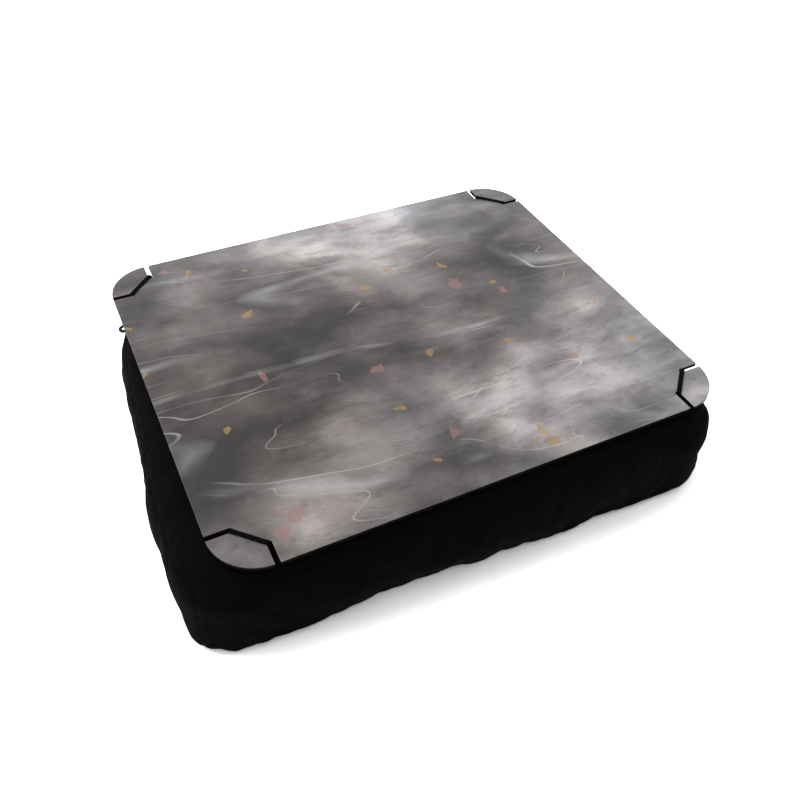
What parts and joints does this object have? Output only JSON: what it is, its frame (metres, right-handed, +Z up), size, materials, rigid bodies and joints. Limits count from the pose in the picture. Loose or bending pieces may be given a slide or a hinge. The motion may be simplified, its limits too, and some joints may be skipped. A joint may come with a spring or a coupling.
{
  "type": "lap tray",
  "caption": "Flat printed lap tray held by elastic corner straps on a bead-filled fabric cushion that zips open along its back wall.",
  "frame": {"origin": "on the floor, under the middle of the board", "axes": "+X to the right along the board's long front edge, +Y towards the zip at the back, +Z up"},
  "size_m": [0.4385, 0.3619, 0.081],
  "materials": {
    "hardboard": "satin",
    "printed_skin": "satin",
    "cover_cloth": "matte",
    "strap_elastic": "satin",
    "zip_tape": "matte",
    "zip_teeth": "satin",
    "zip_metal": "satin",
    "zip_pull": "satin",
    "bag_cloth": "matte",
    "beads": "matte"
  },
  "bodies": {
    "cushion": {"cover_top_panel": "cover_cloth", "cover_bottom_panel": "cover_cloth", "cover_front_band": "cover_cloth", "cover_left_band": "cover_cloth", "cover_right_band": "cover_cloth", "cover_back_band_upper": "cover_cloth", "cover_back_band_lower": "cover_cloth", "zip_tape_upper": "zip_tape", "zip_tape_lower": "zip_tape", "zip_row_upper": "zip_teeth", "zip_row_lower": "zip_teeth", "zip_end_stops": "zip_metal", "inner_bag": "bag_cloth", "bead_filling": "beads", "strap_front_left": "strap_elastic", "strap_front_right": "strap_elastic", "strap_back_left": "strap_elastic", "strap_back_right": "strap_elastic"},
    "tray": {"tray_core": "hardboard", "print_face": "printed_skin"},
    "slider": {"zip_slider": "zip_metal"},
    "puller": {"zip_puller": "zip_pull"}
  },
  "joints": [
    {"name": "tray_lift", "type": "slide", "parent": "cushion", "child": "tray", "axis": [0, 0, 1], "range_m": [0, 0.06], "deforming": ["strap_front_left", "strap_front_right", "strap_back_left", "strap_back_right"]},
    {"name": "zip_slide", "type": "slide", "parent": "cushion", "child": "slider", "axis": [1, 0, 0], "range_m": [0, 0.3292]},
    {"name": "puller_swing", "type": "hinge", "parent": "slider", "child": "puller", "pos_m": [-0.1646, 0.1718, 0.038], "axis": [0.515, 0, -0.8572], "range_deg": [0, 170]}
  ]
}
